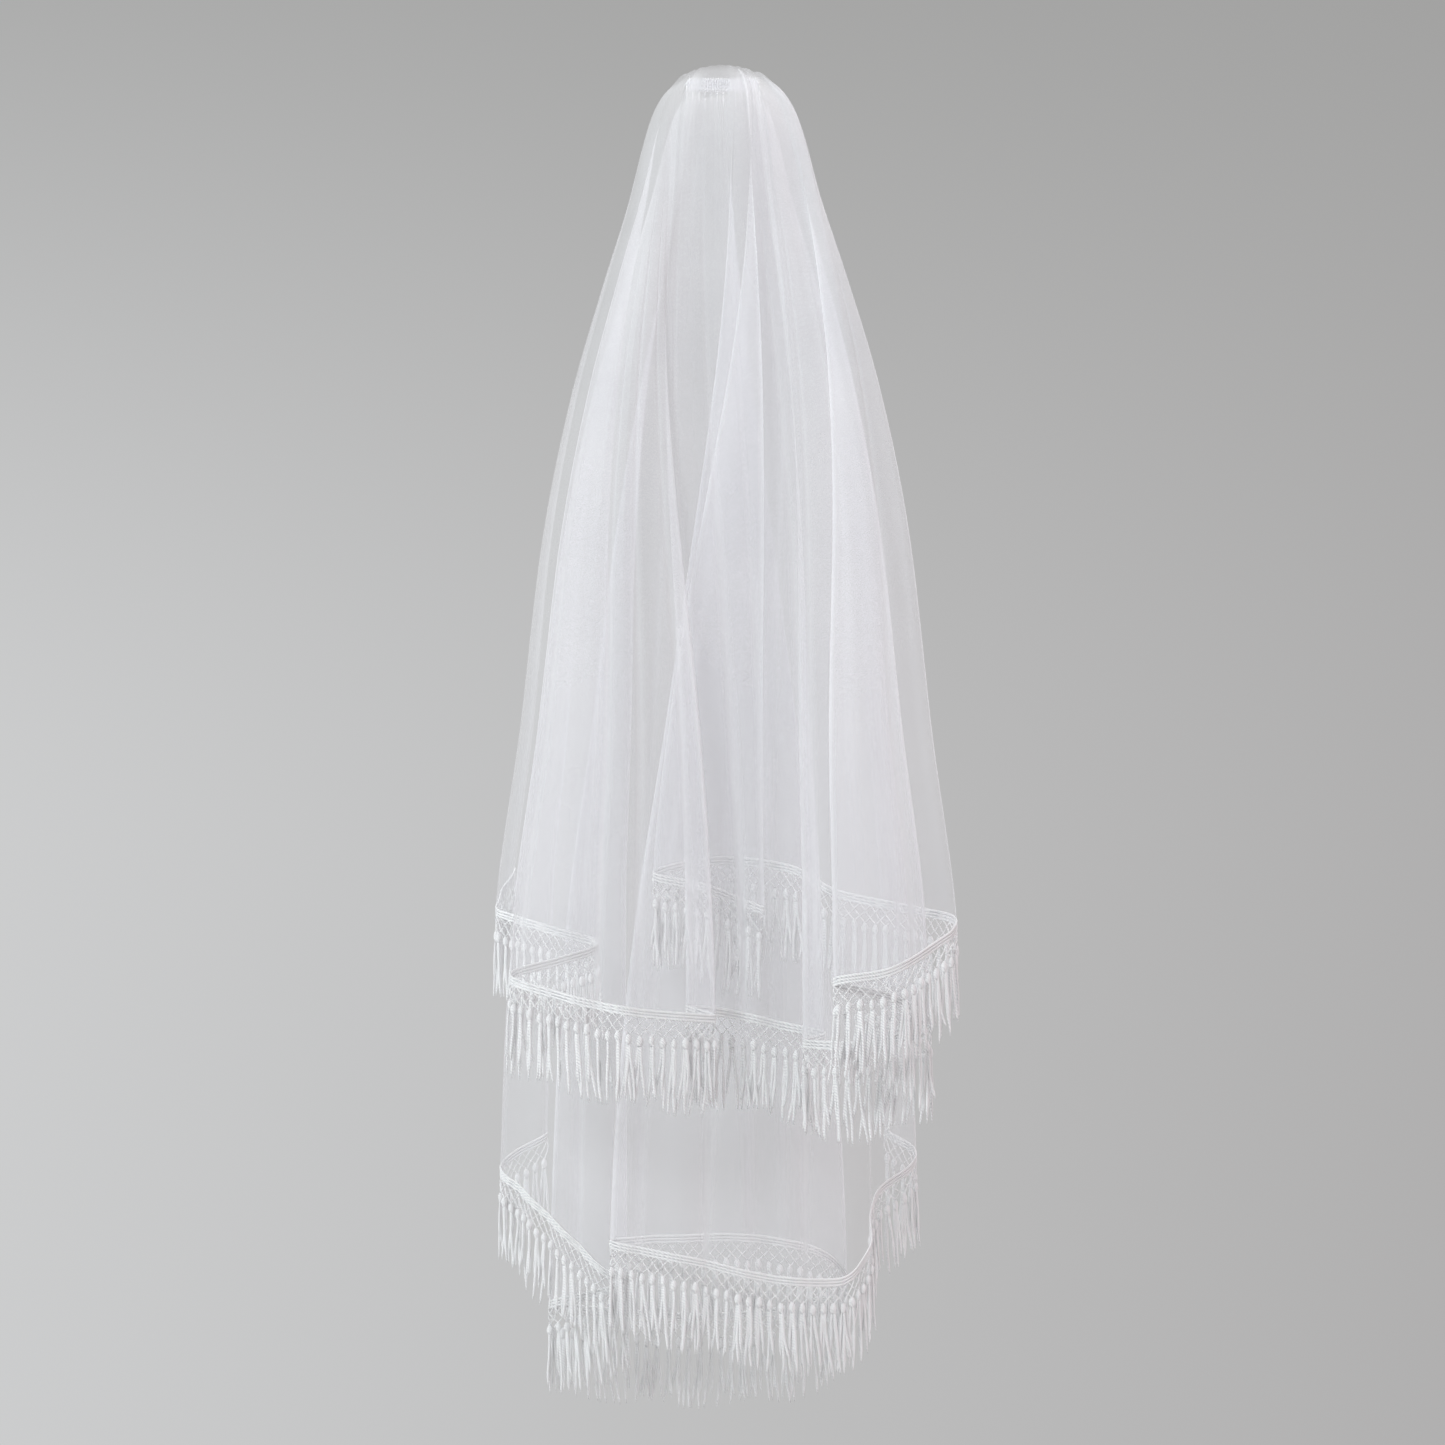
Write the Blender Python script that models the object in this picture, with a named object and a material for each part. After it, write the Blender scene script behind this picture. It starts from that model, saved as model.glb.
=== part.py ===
"""A bridal veil in two tiers of soft tulle, gathered on a hair comb, with tassel fringe on both hems.

Metres, +Z up. The middle of the comb's bar is the origin, on top of the wearer's head. The wearer
faces +Y, so the veil falls behind the head on the -Y side, and +X is on the right as seen from behind.
The tables are in millimetres: across is +X, back is -Y and drop is -Z, all from the origin.
"""

import math
from collections import namedtuple

import bmesh
import bpy
import numpy as np

MM = 0.001

# Driving sizes, in millimetres
CLOTH_WALL = 1.0
SEAM_GAP = 0.3
LOWER_TIER_INSET = 16.0
LOWER_TIER_SLIMMER = 0.1
SIDE_CURVE = 0.97
SPREAD_POWER = 1.7
BILLOW_POWER = 3.2
GATHER_SQUEEZE = 0.6
GATHER_WAVES = 9
GATHER_WAVE_HEIGHT = 1.2
WAVE_FADE = 3
COLUMN_PITCH = 20.0
COLUMNS_PER_WAVE = 2

# The trim, in millimetres below the hem
BRAID_TOP = 0.8
BRAID_DEPTH = 7.5
BRAID_THICKNESS = 2.2
BRAID_STEP = 1.0
NET_THICKNESS = 1.2
NOTCH_DROP = 17.0
NECK_DROP = 26.0
TASSEL_DROP = 84.0
TASSEL_PITCH = 14.0
NECK_WIDTH = 3.4
TASSEL_WIDTH = 7.0
TASSEL_DEPTH = 4.0
TASSEL_UNEVENNESS = 4.0
TASSEL_DRIFT = 3.0

# The comb and the heading that the gathered edges are sewn to, in millimetres
COMB_WIDTH = 70.0
COMB_BAR = 4.0
COMB_TEETH = 13
TOOTH_WIDTH = 1.8
TOOTH_LENGTH = 38.0
TOOTH_DROOP = 14.0
TOOTH_STATIONS = (0.35, 0.7, 1.0)
TOOTH_ROOT = 2.0
TOOTH_TIP = 0.8
BINDING_WIDTH = 66.0
BINDING_THICKNESS = 2.6
BINDING_TOP = 5.5
BINDING_BOTTOM = -8.5
BINDING_PUFF = 0.25

# The way the outer layer takes at centre back: off the comb in a small puff, over the crown, down the
# back of the head to the nape, and on down. half_width is the veil's outline from behind, and wrap says
# how far the layer curves round the head there, from 0, straight across, to 1. side_drop is how much
# lower the layer lies at its two sides, where the crown rounds away.
Profile = namedtuple("Profile", "drop back half_width wrap side_drop")
PROFILE = (
    Profile(-4.0, 5.85, 33, 0.0, 0),
    Profile(-14.0, 15, 38, 0.0, 10),
    Profile(-5.0, 38, 50, 0.35, 17),
    Profile(20, 68, 63, 0.7, 12),
    Profile(60, 92, 74, 0.9, 4),
    Profile(115, 106, 87, 1.0, 0),
    Profile(200, 112, 113, 1.0, 0),
    Profile(300, 120, 141, 1.0, 0),
    Profile(430, 134, 166, 1.0, 0),
    Profile(600, 152, 185, 1.0, 0),
    Profile(760, 170, 206, 1.0, 0),
    Profile(900, 182, 212, 1.0, 0),
    Profile(1250, 195, 215, 1.0, 0),
)

# The profile's rows at the crown and the nape, how much of an outer fold's lift it has at the crown,
# and the share of the way down to the hem that lies above the nape
CROWN_ROW = 2
NAPE_ROW = 5
CROWN_LIFT = 0.35
NAPE_SHARE = 0.2
HEAD_LEVELS = 5
FALL_LEVELS = (0.1, 0.22, 0.37, 0.55, 0.77, 1.0)

# The folds, from the left front edge round to the other edge. Each row is a place on the hem, and the
# cloth turns back wherever across stops growing or shrinking. gathered is where its thread leaves the
# comb, from -1 to 1, and inner is how far inside the outer layer it lies on the head.
Fold = namedtuple("Fold", "gathered inner across back drop")
UPPER_FOLDS = (
    Fold(-1.00, 0.0, -190, 42, 726),
    Fold(-0.97, 0.0, -204, 88, 757),
    Fold(-0.91, 0.0, -162, 140, 770),
    Fold(-0.86, 0.0, -108, 172, 785),
    Fold(-0.83, 0.0, -142, 200, 796),
    Fold(-0.80, 0.0, -182, 230, 807),
    Fold(-0.77, 0.0, -138, 264, 820),
    Fold(-0.74, 0.0, -70, 288, 832),
    Fold(-0.70, 0.0, -5, 276, 838),
    Fold(-0.58, 0.0, -30, 256, 832),
    Fold(-0.38, 0.0, 8, 238, 838),
    Fold(0.10, 0.0, 50, 236, 848),
    Fold(0.42, 0.0, 86, 244, 856),
    Fold(0.56, -1.0, 68, 264, 860),
    Fold(0.66, 0.0, 110, 278, 861),
    Fold(0.74, 0.0, 154, 284, 850),
    Fold(0.80, 0.0, 174, 298, 840),
    Fold(0.85, -5.0, 136, 312, 816),
    Fold(0.89, -10.0, 91, 325, 804),
    Fold(0.94, -12.0, 136, 338, 794),
    Fold(1.00, 0.0, 197, 280, 758),
    Fold(0.965, 4.4, 150, 218, 748),
    Fold(0.88, 5.6, 100, 200, 738),
    Fold(0.76, 6.8, 56, 187, 716),
    Fold(0.62, 7.2, 0, 180, 710),
    Fold(0.50, 5.2, -60, 193, 722),
    Fold(0.43, 3.4, -16, 207, 732),
    Fold(0.36, 2.8, 36, 213, 752),
)
LOWER_FOLDS = (
    Fold(-1.00, 0.0, -160, 45, 968),
    Fold(-0.95, 0.0, -201, 76, 993),
    Fold(-0.90, 0.0, -178, 106, 1011),
    Fold(-0.84, 0.0, -143, 132, 1040),
    Fold(-0.76, 0.0, -106, 150, 1072),
    Fold(-0.68, 0.0, -84, 137, 1087),
    Fold(-0.60, 1.5, -112, 120, 1098),
    Fold(-0.52, 4.5, -156, 99, 1113),
    Fold(-0.42, 8.0, -110, 82, 1121),
    Fold(-0.28, 8.0, -20, 82, 1127),
    Fold(-0.12, 8.0, 64, 96, 1116),
    Fold(-0.02, 8.0, 110, 118, 1086),
    Fold(0.06, 7.0, 80, 140, 1056),
    Fold(0.16, 4.0, 0, 151, 1043),
    Fold(0.26, -1.0, -98, 164, 1046),
    Fold(0.42, -4.0, -30, 180, 1058),
    Fold(0.58, -4.0, 50, 182, 1075),
    Fold(0.72, -2.0, 100, 170, 1079),
    Fold(0.84, 0.0, 130, 142, 1054),
    Fold(0.92, 0.0, 134, 112, 1018),
    Fold(0.97, 0.0, 176, 76, 984),
    Fold(1.00, 0.0, 148, 42, 964),
)
Tier = namedtuple("Tier", "name folds inset slimmer")
UPPER = Tier("upper", UPPER_FOLDS, 0.0, 0.0)
LOWER = Tier("lower", LOWER_FOLDS, LOWER_TIER_INSET, LOWER_TIER_SLIMMER)


def clear_scene():
    for thing in list(bpy.data.objects):
        bpy.data.objects.remove(thing)


def slopes(column):
    """The slope at each row of a column: none at a peak or a dip, so that nothing overshoots."""
    steps = np.diff(column)
    before, after = steps[:-1], steps[1:]
    same_way = before * after > 0
    total = np.where(same_way, before + after, 1.0)
    middle = np.where(same_way, 2 * before * after / total, 0.0)
    return np.concatenate([steps[:1], middle, steps[-1:]])


def eased(column, place):
    """A column's value at a place between its rows, on one smooth curve through all of them."""
    column = np.asarray(column, float)
    slope = slopes(column)
    row = np.clip(np.floor(place).astype(int), 0, len(column) - 2)
    part = place - row
    rest = 1 - part
    start = (1 + 2 * part) * rest**2 * column[row] + part * rest**2 * slope[row]
    end = part**2 * (3 - 2 * part) * column[row + 1] - part**2 * rest * slope[row + 1]
    return start + end


def profile_at(place):
    return Profile(*(eased(column, place) for column in zip(*PROFILE)))


def profile_place(drop):
    """Where on the profile, from the nape down, it has fallen this far."""
    places = np.linspace(NAPE_ROW, len(PROFILE) - 1, 400)
    return np.interp(drop, profile_at(places).drop, places)


def cloth_points(tier, along, down):
    """Points of a tier's cloth. along counts fold rows, and down is 0 at the comb and 1 at the hem."""
    fold = Fold(*(eased(column, along) for column in zip(*tier.folds)))
    nape = PROFILE[NAPE_ROW].drop
    fallen = nape + (down - NAPE_SHARE) / (1 - NAPE_SHARE) * (fold.drop - nape)
    on_head = NAPE_ROW * down / NAPE_SHARE
    place = np.where(down < NAPE_SHARE, on_head, profile_place(fallen))
    way = profile_at(place)
    hem = profile_at(profile_place(fold.drop))

    share_left = 1 - np.clip(way.drop / fold.drop, 0, 1)
    spread = 1 - share_left**SPREAD_POWER
    billow = 1 - share_left**BILLOW_POWER
    loosened = np.interp(place, (0, CROWN_ROW), (GATHER_SQUEEZE, 1))
    wave = GATHER_WAVE_HEIGHT * np.sin(math.pi * GATHER_WAVES * fold.gathered)
    outward = np.minimum(fold.inner, 0) * np.interp(place, (0, CROWN_ROW, NAPE_ROW), (0, CROWN_LIFT, 1))
    inward = (tier.inset + np.maximum(fold.inner, 0) + wave * (1 - spread) ** WAVE_FADE) * loosened
    inset = (1 - spread) * (inward + outward)
    lean = way.wrap * math.pi / 2
    round_head = 1 - way.wrap * (1 - np.sqrt(1 - (SIDE_CURVE * fold.gathered) ** 2))

    half_width = way.half_width * (1 - tier.slimmer * share_left)
    across_head = (half_width - inset * way.wrap) * fold.gathered
    across_hem = half_width * fold.across / hem.half_width
    back_head = (way.back - inset * np.sin(lean)) * round_head
    back_hem = way.back * fold.back / hem.back
    across = across_head + spread * (across_hem - across_head)
    back = back_head + billow * (back_hem - back_head)
    drop = way.drop + inset * np.cos(lean) + way.side_drop * fold.gathered**2
    return np.stack([across, -back, -drop], axis=-1) * MM


def fold_stations(tier):
    """Where the cloth's columns stand: closer on the folds' turns and where the gathers are fine."""
    stations = []
    for row, (fold, following) in enumerate(zip(tier.folds, tier.folds[1:])):
        reach = math.dist((fold.across, fold.back), (following.across, following.back))
        waves = GATHER_WAVES * abs(following.gathered - fold.gathered)
        count = max(3, round(reach / COLUMN_PITCH), math.ceil(COLUMNS_PER_WAVE * waves))
        stations.extend(row + np.arange(count) / count)
    return np.array(stations + [len(tier.folds) - 1.0])


def cloth_levels():
    head = np.arange(HEAD_LEVELS) / HEAD_LEVELS * NAPE_SHARE
    fall = NAPE_SHARE + (1 - NAPE_SHARE) * np.array((0.0, *FALL_LEVELS))
    return np.concatenate([head, fall])


def make_material(name, colour, roughness):
    material = bpy.data.materials.new(name)
    material.use_nodes = True
    shader = material.node_tree.nodes["Principled BSDF"]
    shader.inputs["Base Color"].default_value = (*colour, 1.0)
    shader.inputs["Roughness"].default_value = roughness
    return material


def add_object(name, builder, material):
    """Makes a named object from a bmesh, its faces turned outwards."""
    bmesh.ops.recalc_face_normals(builder, faces=builder.faces)
    mesh = bpy.data.meshes.new(name)
    builder.to_mesh(mesh)
    builder.free()
    thing = bpy.data.objects.new(name, mesh)
    mesh.materials.append(material)
    bpy.context.collection.objects.link(thing)
    return thing


def loft(rings, closed_round):
    """A bmesh skinned over rings of points. A closed ring's first and last sections are capped."""
    builder = bmesh.new()
    rows = [[builder.verts.new(point) for point in ring] for ring in rings]
    size = len(rows[0])
    bands = size if closed_round else size - 1
    for row, following in zip(rows, rows[1:]):
        for here in range(bands):
            there = (here + 1) % size
            builder.faces.new((row[here], row[there], following[there], following[here]))
    if closed_round:
        builder.faces.new(rows[0])
        builder.faces.new(rows[-1][::-1])
    return builder


def make_tier(tier, material):
    """A tier of tulle: one sheet through all its folds, given its wall's thickness."""
    along = fold_stations(tier)[:, None]
    down = cloth_levels()[None, :]
    sheet = loft(cloth_points(tier, along, down), closed_round=False)
    cloth = add_object(f"{tier.name}_tier", sheet, material)
    wall = cloth.modifiers.new("Wall", "SOLIDIFY")
    wall.thickness = CLOTH_WALL * MM
    wall.offset = 0
    cloth.data.shade_smooth()
    return cloth


def strip_slack(length, edge, joints, joint_places, here):
    """How far the straight strips between the trim's joints would rise above the cloth's edge near here."""
    strip_height = np.interp(length, joints, joint_places[:, 2])
    near = np.abs(length - here) <= TASSEL_PITCH * MM
    return np.max((strip_height - edge[:, 2])[near], initial=0.0)


def hem_stations(tier):
    """Places, tangents and normals along the hem, evenly spaced, half a tassel's pitch apart."""
    along = fold_stations(tier)
    edge = cloth_points(tier, along, np.ones_like(along))
    length = np.concatenate([[0], np.cumsum(np.linalg.norm(np.diff(edge, axis=0), axis=1))])
    halves = 2 * round(length[-1] / (TASSEL_PITCH * MM))
    wanted = np.linspace(0, length[-1], halves + 1)
    places = np.stack([np.interp(wanted, length, edge[:, k]) for k in range(3)], axis=1)
    places[:, 2] -= [strip_slack(length, edge, wanted[::2], places[::2], here) for here in wanted]
    tangents = np.gradient(places[:, :2], axis=0)
    tangents /= np.linalg.norm(tangents, axis=1, keepdims=True)
    normals = np.stack([tangents[:, 1], -tangents[:, 0]], axis=1)
    return places, tangents, normals


def trim_ring(place, normal):
    """The trim's section at one place: braid above, net below, down to the notch between two tassels."""
    section = (
        (BRAID_THICKNESS - NET_THICKNESS / 2, BRAID_TOP),
        (BRAID_THICKNESS - NET_THICKNESS / 2, BRAID_TOP + BRAID_DEPTH),
        (NET_THICKNESS / 2, BRAID_TOP + BRAID_DEPTH + BRAID_STEP),
        (NET_THICKNESS / 2, NOTCH_DROP),
        (-NET_THICKNESS / 2, NOTCH_DROP),
        (-NET_THICKNESS / 2, BRAID_TOP),
    )
    return [
        (place[0] + out * normal[0] * MM, place[1] + out * normal[1] * MM, place[2] - drop * MM)
        for out, drop in section
    ]


def hang_tassel(builder, root, place, tangent, normal, sway):
    """Draws the trim's lower face out to the tassel's neck, and that out to its tip."""
    stages = (
        (NECK_DROP, NECK_WIDTH, NECK_WIDTH, 0.0),
        (TASSEL_DROP + TASSEL_UNEVENNESS * sway, TASSEL_WIDTH, TASSEL_DEPTH, TASSEL_DRIFT * sway),
    )
    face = root
    for drop, width, depth, drift in stages:
        centre = face.calc_center_median()
        sides = [
            (
                math.copysign(width / 2, (v.co.x - centre.x) * tangent[0] + (v.co.y - centre.y) * tangent[1]),
                math.copysign(depth / 2, (v.co.x - centre.x) * normal[0] + (v.co.y - centre.y) * normal[1]),
            )
            for v in face.verts
        ]
        face = bmesh.ops.extrude_discrete_faces(builder, faces=[face])["faces"][0]
        for corner, (side, out) in zip(face.verts, sides):
            for axis in (0, 1):
                corner.co[axis] = place[axis] + MM * ((side + drift) * tangent[axis] + out * normal[axis])
            corner.co[2] = place[2] - drop * MM


def make_fringe(tier, material):
    """The trim that hangs from a tier's hem: one strip, notched between its tassels."""
    places, tangents, normals = hem_stations(tier)
    rings = [trim_ring(place, normal) for place, normal in zip(places[::2], normals[::2])]
    builder = loft(rings, closed_round=True)
    builder.faces.ensure_lookup_table()
    sides = len(rings[0])
    roots = [builder.faces[cell * sides + 3] for cell in range(len(rings) - 1)]
    for cell, root in enumerate(roots):
        middle = 2 * cell + 1
        sway = math.sin(5.1 * cell) * math.cos(2.3 * cell)
        hang_tassel(builder, root, places[middle], tangents[middle], normals[middle], sway)
    return add_object(f"{tier.name}_fringe", builder, material)


def bar_ring(across, front, back, top, bottom):
    corners = ((-back, top), (front, top), (front, bottom), (-back, bottom))
    return [(across * MM, y * MM, z * MM) for y, z in corners]


def make_comb(material):
    """The comb: a bar, with teeth drawn out of its front face that curve down over the hair."""
    half = COMB_BAR / 2
    pitch = (COMB_WIDTH - TOOTH_WIDTH) / (COMB_TEETH - 1)
    edges = []
    for tooth in range(COMB_TEETH):
        left = tooth * pitch - COMB_WIDTH / 2
        edges += [left, left + TOOTH_WIDTH]
    builder = loft([bar_ring(across, half, half, half, -half) for across in edges], closed_round=True)
    builder.faces.ensure_lookup_table()
    fronts = [builder.faces[4 * 2 * tooth + 1] for tooth in range(COMB_TEETH)]
    for front in fronts:
        face = front
        for share in TOOTH_STATIONS:
            face = bmesh.ops.extrude_discrete_faces(builder, faces=[face])["faces"][0]
            middle = face.calc_center_median().z
            thickness = TOOTH_ROOT + (TOOTH_TIP - TOOTH_ROOT) * share
            for corner in face.verts:
                above = math.copysign(thickness / 2, corner.co.z - middle)
                corner.co.y = (half + TOOTH_LENGTH * share) * MM
                corner.co.z = (above - TOOTH_DROOP * share**2) * MM
    return add_object("comb", builder, material)


def make_binding(material):
    """The heading: a narrow stitched strip on the back of the comb's bar, with a softly waved face."""
    front = -COMB_BAR / 2 - SEAM_GAP
    rings = []
    for station in np.linspace(-1, 1, 2 * GATHER_WAVES + 1):
        puff = BINDING_PUFF * math.cos(2 * math.pi * GATHER_WAVES * station)
        back = -front + BINDING_THICKNESS + puff
        rings.append(bar_ring(station * BINDING_WIDTH / 2, front, back, BINDING_TOP, BINDING_BOTTOM))
    return add_object("gather_binding", loft(rings, closed_round=True), material)


def main():
    clear_scene()
    tulle = make_material("tulle", (0.86, 0.87, 0.9), 0.75)
    thread = make_material("fringe_thread", (0.9, 0.9, 0.92), 0.6)
    comb_metal = make_material("comb_metal", (0.7, 0.71, 0.73), 0.3)
    make_comb(comb_metal)
    make_binding(tulle)
    for tier in (UPPER, LOWER):
        make_tier(tier, tulle)
        make_fringe(tier, thread)


main()
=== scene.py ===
"""A bridal veil in two tiers of sheer tulle, gathered on a hair comb, with knotted tassel fringe.

Metres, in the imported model's frame: +Z up, the comb's bar at the origin, and the cloth behind the head
on the -Y side. The tables are in millimetres: across is +X, back is -Y and drop is -Z, from the origin.
"""

import math
from collections import namedtuple

import bpy
import numpy as np
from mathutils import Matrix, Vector


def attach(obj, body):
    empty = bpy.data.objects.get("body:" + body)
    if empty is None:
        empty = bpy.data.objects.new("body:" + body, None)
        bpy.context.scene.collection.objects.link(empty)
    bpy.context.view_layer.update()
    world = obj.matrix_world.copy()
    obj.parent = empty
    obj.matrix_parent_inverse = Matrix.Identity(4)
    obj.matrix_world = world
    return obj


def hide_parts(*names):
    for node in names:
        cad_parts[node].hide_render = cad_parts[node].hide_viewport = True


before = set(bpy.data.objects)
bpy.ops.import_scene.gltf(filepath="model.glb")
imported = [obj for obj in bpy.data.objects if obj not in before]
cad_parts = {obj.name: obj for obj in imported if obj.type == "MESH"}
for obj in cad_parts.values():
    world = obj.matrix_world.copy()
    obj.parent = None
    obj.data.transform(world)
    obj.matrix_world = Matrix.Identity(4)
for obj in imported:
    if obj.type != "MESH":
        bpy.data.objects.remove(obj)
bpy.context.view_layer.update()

MM = 0.001

# How a tier's cloth leaves the profile below, lengths in millimetres. The lower tier lies inside the upper
# one and is slimmer, the folds spread to their places at the hem, and the gathers bunch at the comb.
LOWER_TIER_INSET = 16.0
LOWER_TIER_SLIMMER = 0.1
SIDE_CURVE = 0.97
SPREAD_POWER = 1.7
BILLOW_POWER = 3.2
GATHER_SQUEEZE = 0.6
GATHER_WAVES = 9
GATHER_WAVE_HEIGHT = 0.5
WAVE_FADE = 3

# The way of the outer layer at centre back, from the comb over the head and down
Profile = namedtuple("Profile", "drop back half_width wrap side_drop")
PROFILE = (
    Profile(-4.0, 5.85, 33, 0.0, 0),
    Profile(-14.0, 15, 38, 0.0, 10),
    Profile(-5.0, 38, 50, 0.35, 17),
    Profile(20, 68, 63, 0.7, 12),
    Profile(60, 92, 74, 0.9, 4),
    Profile(115, 106, 87, 1.0, 0),
    Profile(200, 112, 113, 1.0, 0),
    Profile(300, 120, 141, 1.0, 0),
    Profile(430, 134, 166, 1.0, 0),
    Profile(600, 152, 185, 1.0, 0),
    Profile(760, 170, 206, 1.0, 0),
    Profile(900, 182, 212, 1.0, 0),
    Profile(1250, 195, 215, 1.0, 0),
)

# The profile's rows at the crown and the nape, how much of an outer fold's lift it has at the crown,
# and the share of the way down to the hem that lies above the nape
CROWN_ROW = 2
NAPE_ROW = 5
CROWN_LIFT = 0.35
NAPE_SHARE = 0.2

# The folds, from the left front edge round to the other edge. gathered is a fold's place on the heading,
# from -1 to 1, inner is how far it lies under the outermost layer there, and the rest is where the hem is.
Fold = namedtuple("Fold", "gathered inner across back drop")
UPPER_FOLDS = (
    Fold(-1.00, 0.0, -190, 42, 726),
    Fold(-0.97, 0.0, -204, 88, 757),
    Fold(-0.91, 0.0, -162, 140, 770),
    Fold(-0.86, 0.0, -108, 172, 785),
    Fold(-0.83, 0.0, -142, 200, 796),
    Fold(-0.80, 0.0, -182, 230, 807),
    Fold(-0.77, 0.0, -138, 264, 820),
    Fold(-0.74, 0.0, -70, 288, 832),
    Fold(-0.70, 0.0, -5, 276, 838),
    Fold(-0.58, 0.0, -30, 256, 832),
    Fold(-0.38, 0.0, 8, 238, 838),
    Fold(0.10, 0.0, 50, 236, 848),
    Fold(0.42, 0.0, 86, 244, 856),
    Fold(0.56, -1.0, 68, 264, 860),
    Fold(0.66, 0.0, 110, 278, 861),
    Fold(0.74, 0.0, 154, 284, 850),
    Fold(0.80, 0.0, 174, 298, 840),
    Fold(0.85, -5.0, 136, 312, 816),
    Fold(0.89, -10.0, 91, 325, 804),
    Fold(0.94, -12.0, 136, 338, 794),
    Fold(1.00, 0.0, 197, 280, 758),
    Fold(0.965, 4.4, 150, 218, 748),
    Fold(0.88, 5.6, 100, 200, 738),
    Fold(0.76, 6.8, 56, 187, 716),
    Fold(0.62, 7.2, 0, 180, 710),
    Fold(0.50, 5.2, -60, 193, 722),
    Fold(0.43, 3.4, -16, 207, 732),
    Fold(0.36, 2.8, 36, 213, 752),
)
LOWER_FOLDS = (
    Fold(-1.00, 0.0, -160, 45, 968),
    Fold(-0.95, 0.0, -201, 76, 993),
    Fold(-0.90, 0.0, -178, 106, 1011),
    Fold(-0.84, 0.0, -143, 132, 1040),
    Fold(-0.76, 0.0, -106, 150, 1072),
    Fold(-0.68, 0.0, -84, 137, 1087),
    Fold(-0.60, 1.5, -112, 120, 1098),
    Fold(-0.52, 4.5, -156, 99, 1113),
    Fold(-0.42, 8.0, -110, 82, 1121),
    Fold(-0.28, 8.0, -20, 82, 1127),
    Fold(-0.12, 8.0, 64, 96, 1116),
    Fold(-0.02, 8.0, 110, 118, 1086),
    Fold(0.06, 7.0, 80, 140, 1056),
    Fold(0.16, 4.0, 0, 151, 1043),
    Fold(0.26, -1.0, -98, 164, 1046),
    Fold(0.42, -4.0, -30, 180, 1058),
    Fold(0.58, -4.0, 50, 182, 1075),
    Fold(0.72, -2.0, 100, 170, 1079),
    Fold(0.84, 0.0, 130, 142, 1054),
    Fold(0.92, 0.0, 134, 112, 1018),
    Fold(0.97, 0.0, 176, 76, 984),
    Fold(1.00, 0.0, 148, 42, 964),
)

# Creases that run down the cloth: the fold row they lie at, their height and half-width in millimetres
# at their strongest, and the shares of the way down where they start and end.
Crease = namedtuple("Crease", "row height half_width start end")
UPPER_CREASES = (
    Crease(1.4, 1.6, 5, 0.15, 0.95),
    Crease(2.3, -1.8, 6, 0.1, 0.8),
    Crease(5.4, 1.4, 5, 0.3, 1.0),
    Crease(6.2, -1.8, 7, 0.2, 0.9),
    Crease(6.5, 2.2, 5, 0.2, 1.0),
    Crease(6.75, -1.6, 6, 0.2, 0.9),
    Crease(7.0, 2.4, 5, 0.15, 0.95),
    Crease(7.55, 1.8, 4, 0.1, 1.0),
    Crease(9.4, 1.6, 5, 0.1, 0.9),
    Crease(10.25, 2.4, 5, 0.06, 1.0),
    Crease(10.55, -2.2, 7, 0.15, 0.9),
    Crease(10.8, 1.8, 4, 0.05, 0.7),
    Crease(11.3, -1.5, 6, 0.2, 1.0),
    Crease(11.65, 2.0, 5, 0.08, 1.0),
    Crease(13.4, 1.8, 5, 0.12, 1.0),
    Crease(14.5, -2.0, 7, 0.2, 0.9),
    Crease(14.9, 1.4, 4, 0.3, 1.0),
    Crease(17.5, -1.4, 6, 0.3, 1.0),
    Crease(19.3, 1.8, 6, 0.15, 1.0),
    Crease(19.7, -1.8, 7, 0.25, 0.9),
    Crease(21.6, 1.4, 6, 0.3, 1.0),
    Crease(23.3, 1.6, 6, 0.3, 1.0),
    Crease(23.7, -1.4, 7, 0.35, 0.95),
)
LOWER_CREASES = (
    Crease(1.3, 1.4, 6, 0.3, 1.0),
    Crease(3.4, 2.0, 5, 0.35, 1.0),
    Crease(4.2, -1.6, 7, 0.3, 0.9),
    Crease(7.6, 1.6, 6, 0.4, 1.0),
    Crease(8.4, 2.2, 6, 0.3, 1.0),
    Crease(8.8, -2.0, 8, 0.35, 1.0),
    Crease(9.5, 2.0, 6, 0.3, 1.0),
    Crease(12.4, 1.6, 6, 0.35, 1.0),
    Crease(13.5, -1.6, 7, 0.4, 1.0),
    Crease(14.5, 1.8, 5, 0.35, 1.0),
    Crease(15.2, 2.2, 6, 0.3, 1.0),
    Crease(15.6, -2.0, 8, 0.4, 1.0),
    Crease(16.4, 1.8, 6, 0.3, 1.0),
    Crease(19.5, 1.4, 6, 0.35, 1.0),
)

# The tiers. flat and area are the size that each one's cloth was cut to, in metres.
Tier = namedtuple("Tier", "name folds creases inset slimmer flat area")
UPPER = Tier("upper", UPPER_FOLDS, UPPER_CREASES, 0.0, 0.0, flat=(1.45, 0.95), area=0.75)
LOWER = Tier(
    "lower", LOWER_FOLDS, LOWER_CREASES, LOWER_TIER_INSET, LOWER_TIER_SLIMMER, flat=(1.26, 1.16), area=0.85
)

# The cloth's mesh, with its levels closer together towards the comb, in millimetres
CLOTH_COLUMN_PITCH = 2.5
CLOTH_LEVELS = 150
LEVEL_POWER = 1.15

# How the creases grow, in shares of the way from the comb to the hem, and the highest one in millimetres
CREASE_LEAST = 0.35
CREASE_FULL_SIZE = 0.8
CREASE_GROWTH = 0.25
CREASE_FALL = 0.1
CREASE_END = 1.05
CREASE_SHARPNESS = 1.5
HIGHEST_CREASE = 2.4

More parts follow.
